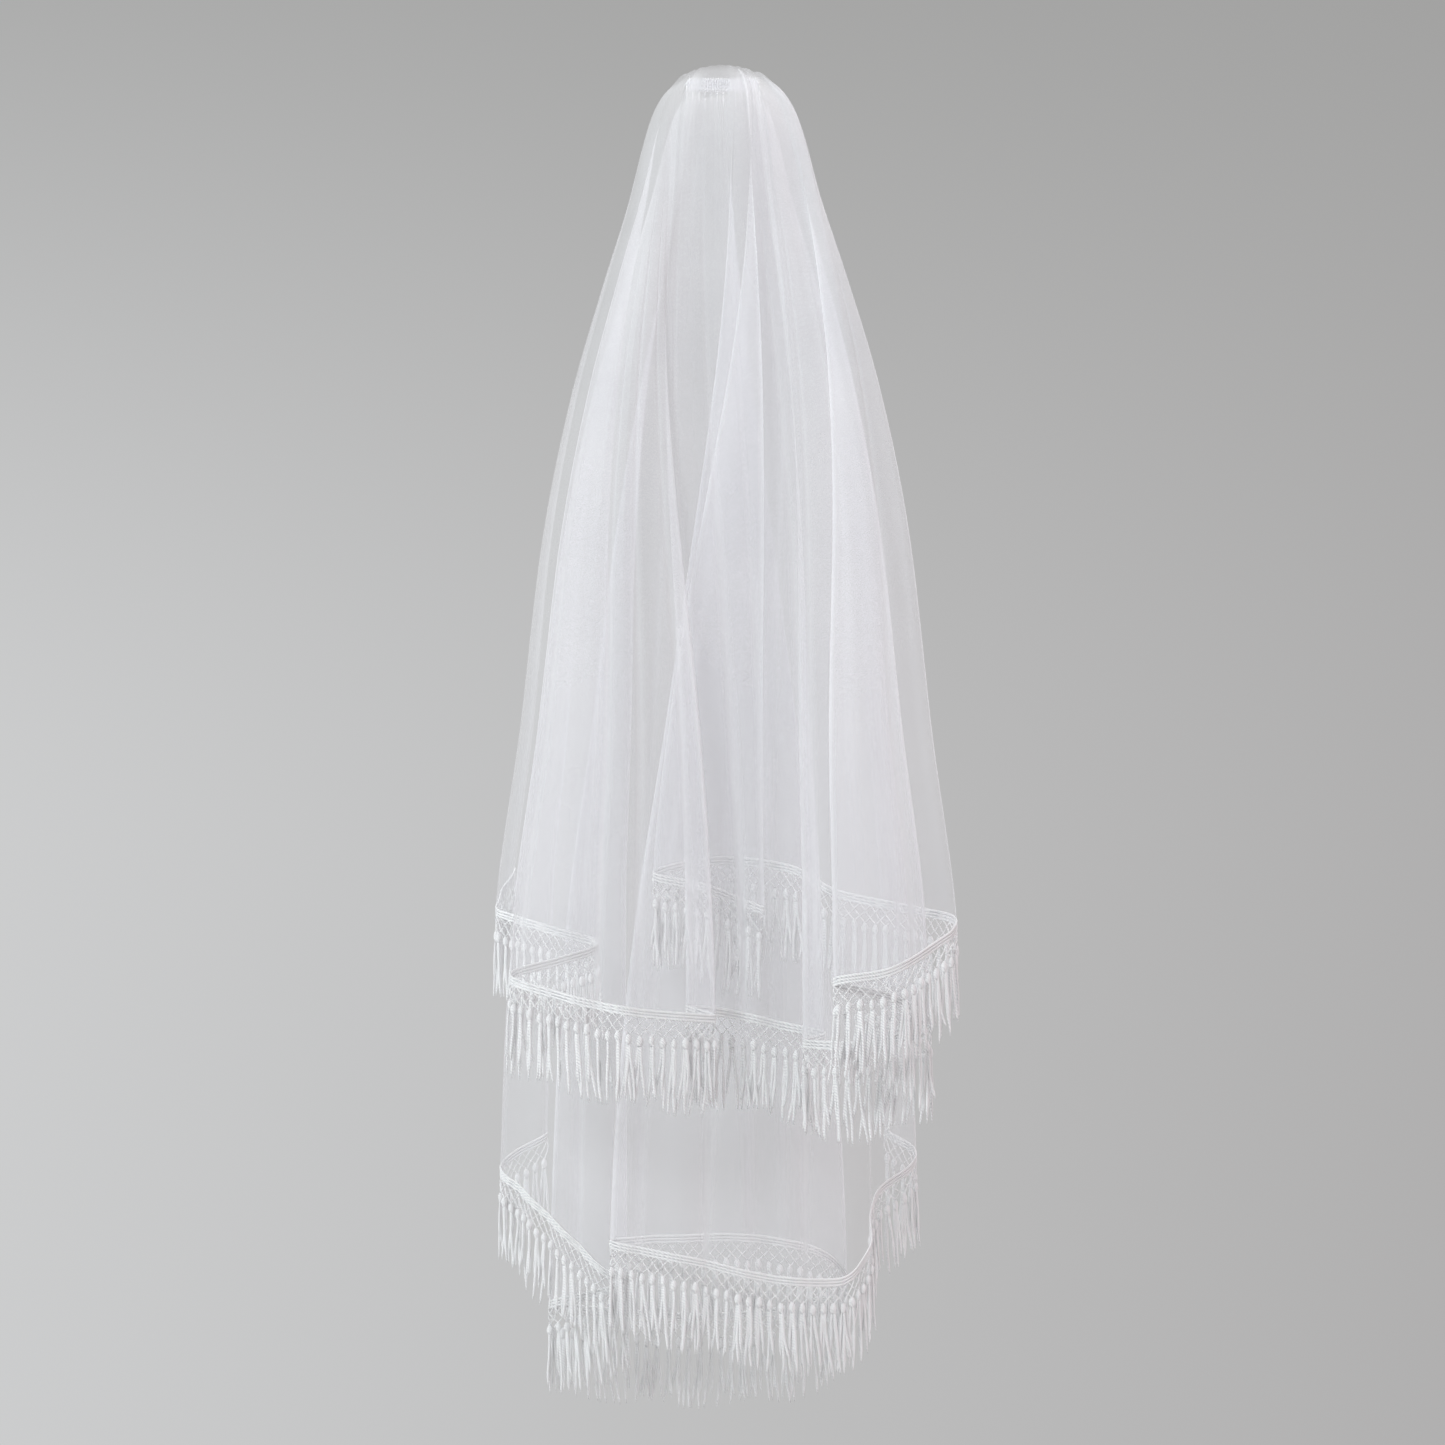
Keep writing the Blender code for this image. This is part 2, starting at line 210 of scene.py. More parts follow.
# The fine gathers that the heading makes, and the ripple above the hem, in millimetres
FINE_GATHERS = 27
FINE_GATHER_HEIGHT = 0.3
FINE_GATHER_FADE = (0.3, 0.01)
HEM_RIPPLE_HEIGHT = 1.1
HEM_RIPPLE_LENGTH = 46.0
HEM_RIPPLE_WANDER = 97
HEM_RIPPLE_START = 0.72

# The trim, in millimetres. HEAD_PROFILE holds shares of a tassel head's length and its radius there, and
# STRAND_TAPER shares of a strand's length and of its size.
TRIM_TOP = 0.3
RIB_DROPS = (1.3, 3.9, 6.5)
RIB_HEIGHT = 1.28
RIB_DEPTH = 0.8
RIB_TWIST_PITCH = 2.6
RIB_TWIST_DEPTH = 0.12
RIB_TWIST_HEIGHT = 0.1
RIB_TWIST_SHIFT = 2.0
RIB_RING_PITCH = 1.3
RIB_END_GAP = 0.5
NET_TOP = 7.4
NET_BOTTOM = 23.5
NET_CORD = 0.72
NET_CORD_RINGS = 9
NET_DIAMONDS = 1.5
NET_SAG = 0.21
NET_WOBBLE = 0.35
NET_CROSSING_DEPTH = 0.4
TASSEL_PITCH = 9.6
HEAD_TOP = 22.5
HEAD_LENGTH = 9.0
HEAD_PROFILE = ((0.0, 0.7), (0.12, 1.6), (0.35, 2.6), (0.6, 2.9), (0.82, 2.3), (0.93, 1.7), (1.0, 1.9))
HEAD_UNEVENNESS = 0.12
HEAD_FLATNESS = 0.85
MOST_STRANDS = 4
STRAND_OVERLAP = 1.0
STRAND_TIP = 79.0
STRAND_TIP_UNEVENNESS = 8.0
STRAND_WIDTH = 1.35
STRAND_DEPTH = 1.0
STRAND_TAPER = ((0, 0.12, 0.75, 0.92, 1.0), (0.65, 1.0, 1.0, 0.7, 0.2))
STRAND_LUMPS = 0.16
STRAND_SWAY = 3.2
STRAND_RINGS = 12

# The comb, in millimetres. The teeth's tables hold shares of their length, and half sizes there.
COMB_WIDTH = 70.0
COMB_BAR = 4.0
COMB_BAR_FLATNESS = 0.8
COMB_END_SHARE = 0.6
COMB_TEETH = 13
TOOTH_WIDTH = 1.8
TOOTH_LENGTH = 38.0
TOOTH_OVERLAP = 1
TOOTH_DROOP = 14.0
TOOTH_HALF_WIDTHS = ((0, 0.85, 1), (0.9, 0.75, 0.35))
TOOTH_HALF_DEPTHS = ((0, 0.8, 1), (1.2, 0.7, 0.3))

# The heading and its stitches, in millimetres. BINDING_SECTION holds shares of its height and of its depth
# from top to bottom, and STITCH_RADII shares of a stitch's length and its radius there.
BINDING_WIDTH = 66.0
BINDING_FRONT = 2.35
BINDING_BACK = 5.0
BINDING_TOP = 5.5
BINDING_BOTTOM = -8.5
BINDING_SECTION = ((0, 0.0), (0.08, 0.7), (0.25, 1.0), (0.5, 0.8), (0.75, 1.0), (0.92, 0.7), (1, 0.0))
BINDING_FRONT_BULGE = 0.02
BINDING_PLEATS = 30
PLEAT_RINGS = 12
PLEAT_HEIGHT_SHARE = 0.2
PLEAT_DEPTH_SHARE = 0.65
STITCH_HEIGHTS = (3.4, -1.2, -6.4)
STITCH_LENGTH = 2.4
STITCH_PITCH = 3.4
STITCH_RADII = ((0, 0.3, 0.7, 1), (0.15, 0.42, 0.42, 0.15))
STITCH_SINK = 0.1
STITCH_BOW = 0.35

# How much the cloth covers of what lies behind it. A line along a fold covers more, by how deep the fold
# is. Its width and depths are in millimetres. A pair holds the shares of the way down between which a value
# changes.
CLOTH_OPACITY = 0.24
CLOTH_UNEVENNESS = 0.28
GATHER_POWER = 0.7
MOST_COVER = 0.52
TOP_COVER = 0.45
TOP_COVER_FADE = (0.055, 0.1)
FOLD_LINE_OPACITY = 0.58
FOLD_LINE_WIDTH = 4.0
FOLD_LINE_LEAST = 0.25
FOLD_LINE_GROWTH = (0.03, 0.75)
FOLD_LINE_FADE = (0.01, 0.09)
DEEP_FOLD = 22.0
EDGE_DEPTH = 14.0
RIDGE_SHARE = 0.35

# The materials: the scales of their patterns, higher for finer ones, and their colours
NET_SCALE = 830.0
CLOUD_SCALE = 26.0
TINT_SCALE = 9.0
THREAD_SCALE = 260.0
HEADING_SCALE = 420.0
FUZZ_SCALE = 900.0
FLOOR_SCALE = 3.0
TULLE_BRIGHT = (0.91, 0.91, 0.935)
TULLE_DIM = (0.86, 0.865, 0.895)
THREAD_BRIGHT = (0.98, 0.98, 0.98)
# The thread's darker tone is painted shade in the grooves of its twist.
THREAD_GROOVE_SHADE = (0.68, 0.69, 0.71)
HEADING_BRIGHT = (0.95, 0.95, 0.97)
# The heading's darker tone is painted shade between its pleats.
HEADING_PLEAT_SHADE = (0.6, 0.61, 0.65)
COMB_BRIGHT = (0.78, 0.79, 0.8)
COMB_DIM = (0.55, 0.56, 0.58)

# The floor in metres, and a surround that is paler to the left. It turns to SURROUND_TOP between two heights,
# which are sines of the angle above the horizon.
FLOOR_HEIGHT = -1.62
FLOOR_RADIUS = 1.4
FLOOR_BRIGHT = (0.66, 0.66, 0.65)
FLOOR_DIM = (0.6, 0.6, 0.59)
SURROUND_TOP = (0.33, 0.33, 0.325)
SURROUND_LEFT = (0.61, 0.615, 0.62)
SURROUND_RIGHT = (0.43, 0.425, 0.425)
SURROUND_TOP_HEIGHTS = (-0.05, 0.4)

# The camera, with its lens and sensor in millimetres, and the lights, in metres and watts
CAMERA_PLACE = (0, -2.8, -0.594)
CAMERA_TARGET = (0, 0, -0.594)
CAMERA_LENS = 75
CAMERA_SENSOR = 36
Light = namedtuple("Light", "name place target size power colour")
LIGHTS = (
    Light("key", (-1.5, -2.8, 1.2), (0, 0, -0.4), 1.2, 57, (0.93, 0.975, 1.0)),
    Light("fill", (2.4, -2.4, 0.1), (0, 0, -0.7), 1.6, 11, (1.0, 0.72, 0.8)),
    Light("left edge", (-2.9, -0.45, -0.5), (0, -0.2, -0.6), 1.2, 19, (0.93, 0.97, 1.0)),
    Light("right edge", (2.9, -0.45, -0.5), (0, -0.2, -0.6), 1.2, 16, (1.0, 0.86, 0.9)),
    Light("top", (0.3, 0.6, 2.0), (0, 0, -0.4), 1.8, 34, (0.98, 0.99, 1.0)),
    Light("front", (1.3, 2.9, 0.4), (0, 0, -0.6), 1.6, 34, (0.98, 0.99, 1.0)),
)


def slopes(column):
    """The slope at each row of a column: none at a peak or a dip, so that nothing overshoots."""
    steps = np.diff(column)
    before, after = steps[:-1], steps[1:]
    same_way = before * after > 0
    total = np.where(same_way, before + after, 1.0)
    middle = np.where(same_way, 2 * before * after / total, 0.0)
    return np.concatenate([steps[:1], middle, steps[-1:]])


def eased(column, place):
    """A column's value at a place between its rows, on one smooth curve through all of them."""
    column = np.asarray(column, float)
    slope = slopes(column)
    row = np.clip(np.floor(place).astype(int), 0, len(column) - 2)
    part = place - row
    rest = 1 - part
    start = (1 + 2 * part) * rest**2 * column[row] + part * rest**2 * slope[row]
    end = part**2 * (3 - 2 * part) * column[row + 1] - part**2 * rest * slope[row + 1]
    return start + end


def profile_at(place):
    return Profile(*(eased(column, place) for column in zip(*PROFILE)))


def profile_place(drop):
    """Where on the profile, from the nape down, it has fallen this far."""
    places = np.linspace(NAPE_ROW, len(PROFILE) - 1, 400)
    return np.interp(drop, profile_at(places).drop, places)


def cloth_points(tier, along, down):
    """Points of a tier's cloth. along counts fold rows, and down is 0 at the comb and 1 at the hem."""
    fold = Fold(*(eased(column, along) for column in zip(*tier.folds)))
    nape = PROFILE[NAPE_ROW].drop
    fallen = nape + (down - NAPE_SHARE) / (1 - NAPE_SHARE) * (fold.drop - nape)
    on_head = NAPE_ROW * down / NAPE_SHARE
    place = np.where(down < NAPE_SHARE, on_head, profile_place(fallen))
    way = profile_at(place)
    hem = profile_at(profile_place(fold.drop))

    share_left = 1 - np.clip(way.drop / fold.drop, 0, 1)
    spread = 1 - share_left**SPREAD_POWER
    billow = 1 - share_left**BILLOW_POWER
    loosened = np.interp(place, (0, CROWN_ROW), (GATHER_SQUEEZE, 1))
    wave = GATHER_WAVE_HEIGHT * np.sin(math.pi * GATHER_WAVES * fold.gathered)
    outward = np.minimum(fold.inner, 0) * np.interp(place, (0, CROWN_ROW, NAPE_ROW), (0, CROWN_LIFT, 1))
    inward = (tier.inset + np.maximum(fold.inner, 0) + wave * (1 - spread) ** WAVE_FADE) * loosened
    inset = (1 - spread) * (inward + outward)
    lean = way.wrap * math.pi / 2
    round_head = 1 - way.wrap * (1 - np.sqrt(1 - (SIDE_CURVE * fold.gathered) ** 2))

    half_width = way.half_width * (1 - tier.slimmer * share_left)
    across_head = (half_width - inset * way.wrap) * fold.gathered
    across_hem = half_width * fold.across / hem.half_width
    back_head = (way.back - inset * np.sin(lean)) * round_head
    back_hem = way.back * fold.back / hem.back
    across = across_head + spread * (across_hem - across_head)
    back = back_head + billow * (back_hem - back_head)
    drop = way.drop + inset * np.cos(lean) + way.side_drop * fold.gathered**2
    return np.stack([across, -back, -drop], axis=-1) * MM


def ramp(value, start, end):
    """0 before start, 1 after end, and smooth between them. end may come before start."""
    share = np.clip((value - start) / (end - start), 0, 1)
    return share**2 * (3 - 2 * share)


def surface_normals(points):
    along = np.gradient(points, axis=0)
    down = np.gradient(points, axis=1)
    normals = np.cross(along, down)
    return normals / np.maximum(np.linalg.norm(normals, axis=-1, keepdims=True), 1e-12)


def hem_lengths(points):
    steps = np.linalg.norm(np.diff(points, axis=0), axis=-1)
    return np.concatenate([[0], np.cumsum(steps)])


def cloth_columns(tier):
    """Fold places of the cloth's columns, spaced evenly along the hem."""
    along = np.linspace(0, len(tier.folds) - 1, 6000)
    length = hem_lengths(cloth_points(tier, along, np.ones_like(along)))
    wanted = np.linspace(0, length[-1], round(length[-1] / (CLOTH_COLUMN_PITCH * MM)) + 1)
    return np.interp(wanted, length, along)


def crease_lift(crease, along, levels, lengths):
    """How far one crease lifts the cloth, in millimetres. It is narrower and lower towards the comb."""
    middle = np.interp(crease.row, along, lengths[:, 0])
    narrow = CREASE_LEAST + (1 - CREASE_LEAST) * ramp(levels, 0.0, CREASE_FULL_SIZE)
    distance = (lengths - middle) / (crease.half_width * narrow)
    begun = ramp(levels, crease.start, crease.start + CREASE_GROWTH)
    ended = ramp(levels, crease.end - CREASE_FALL, CREASE_END)
    span = begun * (1 - 0.5 * ended)
    return crease.height * span * narrow * np.exp(-np.abs(distance) ** CREASE_SHARPNESS)


def fine_gathers(gathered, levels):
    """How far the fine gathers lift the cloth, in millimetres. The sines' odd numbers keep them uneven."""
    wander = 1.7 * np.sin(5.3 * gathered + 5 * levels) + 1.1 * np.sin(13.1 * gathered)
    fine = np.sin(math.pi * FINE_GATHERS * gathered + wander)
    fade = ramp(levels, *FINE_GATHER_FADE)
    return FINE_GATHER_HEIGHT * fade * fine * (0.7 + 0.6 * np.sin(11.3 * gathered + 2))


def hem_ripple(lengths, levels):
    """How far the ripple above the hem lifts the cloth, in millimetres."""
    ripple = np.sin(2 * math.pi * lengths / HEM_RIPPLE_LENGTH + 2.1 * np.sin(lengths / HEM_RIPPLE_WANDER))
    return HEM_RIPPLE_HEIGHT * ramp(levels, HEM_RIPPLE_START, 1.0) * ripple


def lifts(tier, along, down, hem_length):
    """How far the creases, gathers and ripple lift the cloth, and how near it is to a crease's ridge."""
    rows, levels = np.meshgrid(along, down, indexing="ij")
    lengths = np.broadcast_to(hem_length[:, None] / MM, rows.shape)
    gathered = eased(tuple(fold.gathered for fold in tier.folds), rows)
    lift = np.zeros_like(rows)
    ridges = np.zeros_like(rows)
    for crease in tier.creases:
        here = crease_lift(crease, along, levels, lengths)
        lift += here
        ridges = np.maximum(ridges, here / HIGHEST_CREASE)
    lift += fine_gathers(gathered, levels)
    lift += hem_ripple(lengths, levels)
    return lift, ridges


def level_lines(across, length, fine):
    """How near each point of one level is to a line where the cloth turns back or ends, from 0 to 1.

    fine is the share of their size at the hem that the folds and their lines have at this level.
    """
    step = np.diff(across)
    turns = np.flatnonzero(step[:-1] * step[1:] < 0)
    share = step[turns] / (step[turns] - step[turns + 1])
    before = (length[turns] + length[turns + 1]) / 2
    after = (length[turns + 1] + length[turns + 2]) / 2
    lines = np.concatenate([length[:1], before + share * (after - before), length[-1:]])
    corners = np.concatenate([across[:1], across[turns + 1], across[-1:]])
    depth = np.abs(np.diff(corners)) / MM
    depth = np.minimum(np.append(depth, EDGE_DEPTH), np.append(EDGE_DEPTH, depth))
    strength = ramp(depth, 0.0, DEEP_FOLD * fine)
    near = (length[:, None] - lines[None, :]) / (FOLD_LINE_WIDTH * fine * MM)
    return (strength * np.exp(-(near**2))).max(axis=1)


def fold_lines(points, down):
    """The lines of the folds over the whole cloth, finer towards the comb."""
    lengths = np.cumsum(np.linalg.norm(np.diff(points, axis=0), axis=-1), axis=0)
    lengths = np.concatenate([np.zeros_like(lengths[:1]), lengths])
    shares = FOLD_LINE_LEAST + (1 - FOLD_LINE_LEAST) * ramp(down, *FOLD_LINE_GROWTH)
    lines = [level_lines(points[:, k, 0], lengths[:, k], fine) for k, fine in enumerate(shares)]
    return np.stack(lines, axis=1) * ramp(down, *FOLD_LINE_FADE)


def cover_shares(points, down):
    """How much the cloth covers: more where it is gathered, but less at the top."""
    spacing = np.linalg.norm(np.gradient(points, axis=0), axis=-1)
    gathering = np.maximum(spacing[:, -1:] / np.maximum(spacing, 1e-6), 1.0)
    cover = 1 - (1 - CLOTH_OPACITY) ** (gathering**GATHER_POWER)
    below_top = TOP_COVER + (1 - TOP_COVER) * ramp(down, *TOP_COVER_FADE)
    return np.minimum(cover, MOST_COVER) * below_top


def add_mesh(name, points, faces, material):
    mesh = bpy.data.meshes.new(name)
    mesh.from_pydata(points.tolist(), [], faces)
    mesh.update()
    mesh.shade_smooth()
    mesh.materials.append(material)
    thing = bpy.data.objects.new(name, mesh)
    bpy.context.scene.collection.objects.link(thing)
    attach(thing, "root")
    return thing


def grid_faces(columns, levels):
    corner = np.arange(columns * levels).reshape(columns, levels)
    quads = np.stack([corner[:-1, :-1], corner[:-1, 1:], corner[1:, 1:], corner[1:, :-1]], axis=-1)
    return quads.reshape(-1, 4).tolist()


def fine_cloth(tier):
    """The tier's creased points, how much each covers, and how near each is to a fold's line or ridge."""
    along = cloth_columns(tier)
    down = np.linspace(0, 1, CLOTH_LEVELS) ** LEVEL_POWER
    points = cloth_points(tier, along[:, None], down[None, :])
    lift, ridges = lifts(tier, along, down, hem_lengths(points[:, -1]))
    lines = np.maximum(fold_lines(points, down), RIDGE_SHARE * ridges)
    cover = cover_shares(points, down)
    points = points + surface_normals(points) * lift[..., None] * MM
    return points, cover, lines


def add_values(cloth, name, values):
    layer = cloth.data.attributes.new(name, "FLOAT", "POINT")
    layer.data.foreach_set("value", values.reshape(-1).astype(np.float32))


def unroll(cloth, points):
    """Lays the cloth out flat in a UV layer, by its length along the hem and its share of the way down."""
    uv = cloth.data.uv_layers.new(name="thread")
    along = hem_lengths(points[:, -1])
    down = np.linspace(0, 1, points.shape[1])
    grid = np.stack(np.meshgrid(along, down, indexing="ij"), axis=-1).reshape(-1, 2)
    corners = np.empty(len(cloth.data.loops), dtype=np.int32)
    cloth.data.loops.foreach_get("vertex_index", corners)
    uv.data.foreach_set("uv", grid[corners].astype(np.float32).reshape(-1))


def make_tier(tier, points, cover, lines, material):
    """A tier's tulle: one open sheet on its solid's form."""
    faces = grid_faces(*points.shape[:2])
    cloth = add_mesh(f"{tier.name}_tulle", points.reshape(-1, 3), faces, material)
    add_values(cloth, "cover", cover)
    add_values(cloth, "fold_line", lines)
    unroll(cloth, points)
    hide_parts(f"{tier.name}_tier")
    return cloth


class Shape:
    """Gathers tubes into one mesh."""

    def __init__(self):
        self.points = []
        self.faces = []
        self.count = 0

    def tube(self, rings):
        """A closed tube over rings of points: an array of rings, sides and coordinates."""
        stations, sides = rings.shape[:2]
        here = self.count + np.arange(stations * sides).reshape(stations, sides)
        following = np.roll(here, -1, axis=1)
        quads = np.stack([here[:-1], following[:-1], following[1:], here[1:]], axis=-1)
        self.faces += quads.reshape(-1, 4).tolist()
        self.faces.append(here[0][::-1].tolist())
        self.faces.append(here[-1].tolist())
        self.points.append(rings.reshape(-1, 3))
        self.count += stations * sides


def round_rings(path, side, front, radii_side, radii_front, sides):
    """Rings round a path. Their radii along side and along front may change from ring to ring."""
    turn = np.arange(sides) / sides * 2 * math.pi
    across = np.cos(turn)[None, :, None] * side[:, None, :] * np.asarray(radii_side)[:, None, None]
    out = np.sin(turn)[None, :, None] * front[:, None, :] * np.asarray(radii_front)[:, None, None]
    return path[:, None, :] + across + out


class Hem:
    """The lower edge of a tier's cloth: where it runs, and its tangent and outward normal."""

    def __init__(self, points):
        edge = points[:, -1]
        self.length = hem_lengths(edge)
        self.edge = edge
        tangent = np.gradient(edge[:, :2], self.length, axis=0)
        window = np.ones(5) / 5
        tangent = np.stack([np.convolve(tangent[:, k], window, mode="same") for k in (0, 1)], axis=1)
        self.tangent = tangent / np.linalg.norm(tangent, axis=1, keepdims=True)

    def at(self, where, drop, out=0.0):
        """Points this far below the hem and this far out from it, in metres along it."""
        where = np.asarray(where, float)
        place = np.stack([np.interp(where, self.length, self.edge[:, k]) for k in range(3)], axis=-1)
        tangent = np.stack([np.interp(where, self.length, self.tangent[:, k]) for k in (0, 1)], axis=-1)
        tangent /= np.linalg.norm(tangent, axis=-1, keepdims=True)
        side = np.concatenate([tangent, np.zeros_like(tangent[..., :1])], axis=-1)
        normal = np.stack([tangent[..., 1], -tangent[..., 0], np.zeros_like(tangent[..., 0])], axis=-1)
        place = place + normal * np.asarray(out)[..., None]
        place[..., 2] -= drop
        return place, side, normal


def braid(shape, hem):
    """The header's three raised ribs, each twisted like a cord, touching side by side."""
    total = hem.length[-1]
    where = np.linspace(RIB_END_GAP * MM, total - RIB_END_GAP * MM, round(total / (RIB_RING_PITCH * MM)))
    up = np.zeros((len(where), 3))
    up[:, 2] = 1
    for index, drop in enumerate(RIB_DROPS):
        twist = 2 * math.pi * where / (RIB_TWIST_PITCH * MM) + index * RIB_TWIST_SHIFT
        path, _side, normal = hem.at(where, (TRIM_TOP + drop) * MM, RIB_TWIST_DEPTH * MM * np.sin(twist))
        high = (RIB_HEIGHT + RIB_TWIST_HEIGHT * np.sin(twist)) * MM
        deep = (RIB_DEPTH + RIB_TWIST_DEPTH * np.cos(twist)) * MM
        shape.tube(round_rings(path, up, normal, high, deep, sides=6))


def net_cords(shape, hem, tassels):
    """The knotted net: two families of cords that cross below the braid and meet at the tassel heads."""
    pitch = hem.length[-1] / tassels
    share = np.linspace(0, 1, NET_CORD_RINGS)
    sag = NET_SAG * np.sin(2 * math.pi * NET_DIAMONDS * share) * MM
    crossing = NET_CROSSING_DEPTH * MM * np.cos(2 * math.pi * NET_DIAMONDS * share)
    radius = np.full(len(share), NET_CORD * MM)
    for way in (1, -1):
        for tassel in range(tassels):
            foot = (tassel + 0.5) * pitch
            where = foot - way * NET_DIAMONDS * pitch * (1 - share) + way * sag
            where = np.clip(where, 0, hem.length[-1])
            wobble = NET_WOBBLE * math.sin(3.7 * tassel + way)
            drop = (NET_TOP + (NET_BOTTOM - NET_TOP) * share + wobble * np.sin(math.pi * share)) * MM
            path, side, normal = hem.at(where, drop, way * crossing)
            shape.tube(round_rings(path, side, normal, radius, radius, sides=5))


def tassel(shape, hem, where, number):
    """One tassel: a wound head and its strands. The odd numbers make each one unlike its neighbours."""
    tilt = 0.5 * math.sin(1.7 * number) * MM
    shift = 0.8 * math.sin(4.3 * number) * MM
    share, radius = np.array(HEAD_PROFILE).T
    radius = radius * (1 + HEAD_UNEVENNESS * math.sin(2.9 * number)) * MM
    drop = (HEAD_TOP + HEAD_LENGTH * share) * MM + shift
    path, side, normal = hem.at(np.full(len(share), where), drop)
    path = path + side * (tilt * share)[:, None]
    shape.tube(round_rings(path, side, normal, radius, radius * HEAD_FLATNESS, sides=8))

    strands = MOST_STRANDS - round(1 + math.sin(7.7 * number + 0.4))
    for strand in range(strands):
        key = 5.1 * number + 2.4 * strand
        turn = math.pi * (strand + 0.5 + 0.35 * math.sin(key)) / strands
        sway = STRAND_SWAY * MM * math.sin(0.37 * number + 0.8 * math.sin(key))
        add_strand(shape, hem, where, key, turn, tilt, sway, shift)


def add_strand(shape, hem, where, key, turn, tilt, sway, shift):
    """One strand of a tassel, which leaves the head at an angle of turn, sways to one side and curls."""
    share = np.linspace(0, 1, STRAND_RINGS)
    foot, side, normal = hem.at(np.full(STRAND_RINGS, where), 0.0)
    spread = (1.1 + (2.7 + 1.6 * math.sin(1.9 * key)) * share**1.2) * MM
    aside = spread * math.cos(turn) + 1.3 * MM * np.sin(4.3 * share + key) * share + tilt
    aside = aside + sway * share**1.6
    out = 0.8 * spread * math.sin(2 * turn) + 1.0 * MM * np.sin(4.1 * share + 1.9 * key) * share
    top = (HEAD_TOP + HEAD_LENGTH - STRAND_OVERLAP) * MM + shift
    tip = (STRAND_TIP + STRAND_TIP_UNEVENNESS * math.sin(1.3 * key + 0.6)) * MM
    path = foot + side * aside[:, None] + normal * out[:, None]
    path[:, 2] -= top + (tip - top) * share
    lumps = 1 + STRAND_LUMPS * np.sin(9 * share + 2 * key)
    size = MM * np.interp(share, *STRAND_TAPER) * lumps
    shape.tube(round_rings(path, side, normal, STRAND_WIDTH * size, STRAND_DEPTH * size, sides=6))


def make_trim(tier, points, material):
    """The fringe of one tier: braid, net and tassels in one piece."""
    hem = Hem(points)
    tassels = round(hem.length[-1] / (TASSEL_PITCH * MM))
    shape = Shape()
    braid(shape, hem)
    net_cords(shape, hem, tassels)
    for number in range(tassels):
        tassel(shape, hem, (number + 0.5) * hem.length[-1] / tassels, number)
    trim = add_mesh(f"{tier.name}_trim", np.concatenate(shape.points), shape.faces, material)
    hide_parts(f"{tier.name}_fringe")
    return trim


def comb_bar(shape):
    """The comb's bar, with rounded ends."""
    across = np.array([-1, -0.985, -0.97, *np.linspace(-0.9, 0.9, 19), 0.97, 0.985, 1]) * COMB_WIDTH / 2
    end_share = np.interp(np.abs(across), (COMB_WIDTH * 0.485, COMB_WIDTH * 0.5), (1.0, COMB_END_SHARE))
    path = np.stack([across, np.zeros_like(across), np.zeros_like(across)], axis=1) * MM
    forward = np.tile((0.0, 1.0, 0.0), (len(across), 1))
    up = np.tile((0.0, 0.0, 1.0), (len(across), 1))
    half = COMB_BAR / 2 * end_share * MM
    shape.tube(round_rings(path, forward, up, half, half * COMB_BAR_FLATNESS, sides=12))


def comb_teeth(shape):
    """Tapered teeth that curve down over the hair."""
    pitch = (COMB_WIDTH - TOOTH_WIDTH) / (COMB_TEETH - 1)
    share = np.linspace(0, 1, 14)
    reach = COMB_BAR / 2 - TOOTH_OVERLAP + (TOOTH_LENGTH + TOOTH_OVERLAP) * share
    wide = np.interp(share, *TOOTH_HALF_WIDTHS) * MM
    thick = np.interp(share, *TOOTH_HALF_DEPTHS) * MM
    for number in range(COMB_TEETH):
        middle = number * pitch - (COMB_WIDTH - TOOTH_WIDTH) / 2
        path = np.stack([np.full_like(share, middle), reach, -TOOTH_DROOP * share**2], axis=1) * MM
        side = np.tile((1.0, 0.0, 0.0), (len(share), 1))
        forward = np.gradient(path, axis=0)
        forward /= np.linalg.norm(forward, axis=1, keepdims=True)
        shape.tube(round_rings(path, side, np.cross(side, forward), wide, thick, sides=10))


def make_comb(material):
    """The comb: a rounded bar and its teeth."""
    shape = Shape()
    comb_bar(shape)
    comb_teeth(shape)
    comb = add_mesh("hair_comb", np.concatenate(shape.points), shape.faces, material)
    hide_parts("comb")


def heading_ring(station):
    """An upright ring of the heading, in millimetres. station is from -1 at its left end to 1."""
    pleat = 0.5 + 0.5 * math.cos(math.pi * BINDING_PLEATS * station + 1.3 * math.sin(9 * station))
    rounded_end = min(1, 12 * (1.02 - abs(station))) ** 0.5
    tall = 1 - PLEAT_HEIGHT_SHARE + PLEAT_HEIGHT_SHARE * pleat
    deep = 1 - PLEAT_DEPTH_SHARE + PLEAT_DEPTH_SHARE * pleat
    height = (BINDING_TOP - BINDING_BOTTOM) * tall * rounded_end
    middle = (BINDING_TOP + BINDING_BOTTOM) / 2
    across = station * BINDING_WIDTH / 2
    ring = []
    for share, full in BINDING_SECTION:
        back = BINDING_FRONT + (BINDING_BACK - BINDING_FRONT) * full * deep
        ring.append((across, -back, middle + height * (0.5 - share)))
    ring.append((across, -BINDING_FRONT + BINDING_FRONT_BULGE, middle))
    return ring


def make_heading(material):
    """The heading that both gathered edges are sewn to: a shirred strip with small upright pleats."""
    rings = [heading_ring(station) for station in np.linspace(-1, 1, PLEAT_RINGS * BINDING_PLEATS + 1)]
    shape = Shape()
    shape.tube(np.array(rings) * MM)
    heading = add_mesh("shirred_heading", np.concatenate(shape.points), shape.faces, material)
    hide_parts("gather_binding")
    return heading


